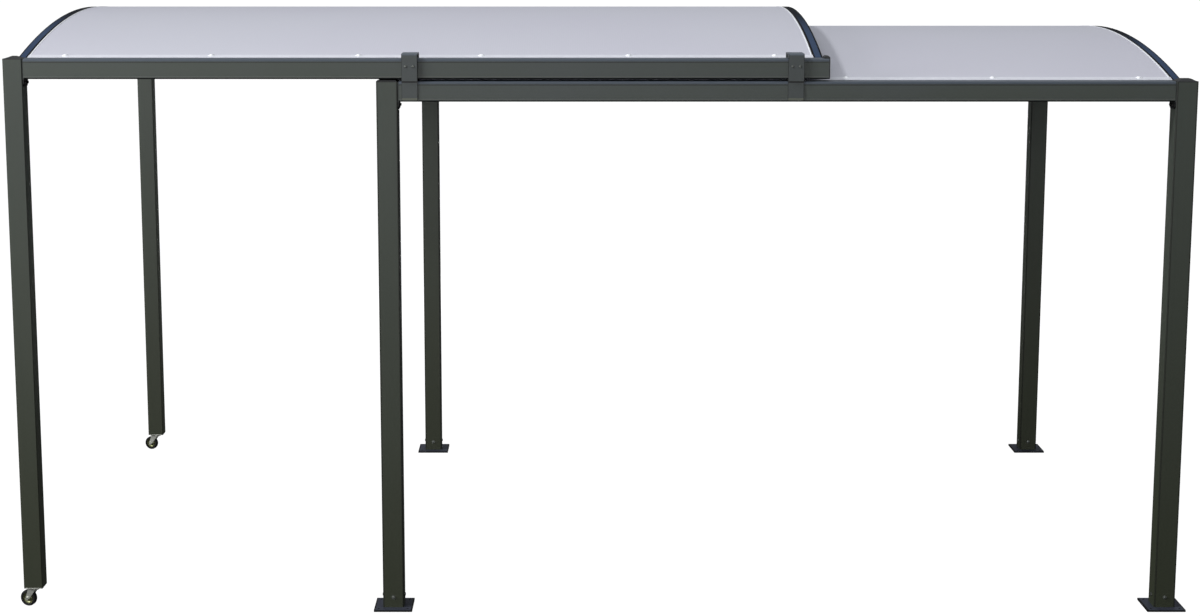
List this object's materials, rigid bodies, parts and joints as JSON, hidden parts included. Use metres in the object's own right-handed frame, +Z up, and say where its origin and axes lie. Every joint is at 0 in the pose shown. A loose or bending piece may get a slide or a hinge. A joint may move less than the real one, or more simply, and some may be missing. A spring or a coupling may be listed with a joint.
{
  "type": "retractable carport",
  "caption": "Open carport with two arched roofs on post frames; one frame rolls on castors and slides over the fixed one through saddle guides.",
  "frame": {"origin": "on the ground under the middle of the carport, half drawn out as in the picture", "axes": "+X along the carport from the castors towards the fixed end, +Y across it to the back, +Z up"},
  "size_m": [5.6427, 3.204, 2.832],
  "materials": {
    "frame_paint": "grey-green satin powder coat on aluminium",
    "guide_paint": "grey satin powder coat on aluminium",
    "hoop_paint": "dark slate blue satin powder coat on aluminium",
    "foot_paint": "dark powder coat on steel plate",
    "flange_paint": "black powder coat on aluminium plate",
    "roof_sheet": "opal twin-wall sheet, soft sheen",
    "cap_plastic": "black moulded plastic",
    "glide_nylon": "black glide nylon",
    "plated_steel": "zinc-plated pressed steel",
    "hub_metal": "yellow passivated zinc",
    "tyre": "black rubber tread"
  },
  "bodies": {
    "fixed_frame": {"front_left_post": "frame_paint", "front_left_base": "foot_paint", "front_right_post": "frame_paint", "front_right_base": "foot_paint", "front_fixed_rail": "frame_paint", "front_left_guide": "guide_paint", "front_right_guide": "guide_paint", "front_guide_pads": "glide_nylon", "front_fixed_eaves_bar": "frame_paint", "back_left_post": "frame_paint", "back_left_base": "foot_paint", "back_right_post": "frame_paint", "back_right_base": "foot_paint", "back_fixed_rail": "frame_paint", "back_left_guide": "guide_paint", "back_right_guide": "guide_paint", "back_guide_pads": "glide_nylon", "back_fixed_eaves_bar": "frame_paint", "fixed_post_caps": "cap_plastic", "fixed_rail_flanges": "flange_paint", "fixed_left_hoop": "hoop_paint", "fixed_right_hoop": "hoop_paint", "fixed_roof_sheet": "roof_sheet"},
    "moving_frame": {"front_moving_post": "frame_paint", "front_moving_rail": "frame_paint", "front_moving_eaves_bar": "frame_paint", "back_moving_post": "frame_paint", "back_moving_rail": "frame_paint", "back_moving_eaves_bar": "frame_paint", "moving_post_caps": "cap_plastic", "moving_rail_flanges": "flange_paint", "rail_end_caps": "cap_plastic", "castor_plates": "plated_steel", "moving_left_hoop": "hoop_paint", "moving_right_hoop": "hoop_paint", "moving_roof_sheet": "roof_sheet"},
    "front_castor": {"front_castor_fork": "plated_steel", "front_castor_axle": "plated_steel"},
    "front_wheel": {"front_wheel_hub": "hub_metal", "front_tyre": "tyre"},
    "back_castor": {"back_castor_fork": "plated_steel", "back_castor_axle": "plated_steel"},
    "back_wheel": {"back_wheel_hub": "hub_metal", "back_tyre": "tyre"}
  },
  "joints": [
    {"name": "frame_slide", "type": "slide", "parent": "fixed_frame", "child": "moving_frame", "axis": [1, 0, 0], "range_m": [-0.044, 1.565]},
    {"name": "front_castor_swivel", "type": "hinge", "parent": "moving_frame", "child": "front_castor", "pos_m": [-2.742, -1.51, 0.095], "axis": [0, 0, 1], "continuous": true},
    {"name": "front_wheel_spin", "type": "hinge", "parent": "front_castor", "child": "front_wheel", "pos_m": [-2.7787, -1.50016, 0.04], "axis": [0.2588, 0.9659, 0], "continuous": true},
    {"name": "back_castor_swivel", "type": "hinge", "parent": "moving_frame", "child": "back_castor", "pos_m": [-2.742, 1.51, 0.095], "axis": [0, 0, 1], "continuous": true},
    {"name": "back_wheel_spin", "type": "hinge", "parent": "back_castor", "child": "back_wheel", "pos_m": [-2.7787, 1.51984, 0.04], "axis": [0.2588, 0.9659, 0], "continuous": true}
  ]
}
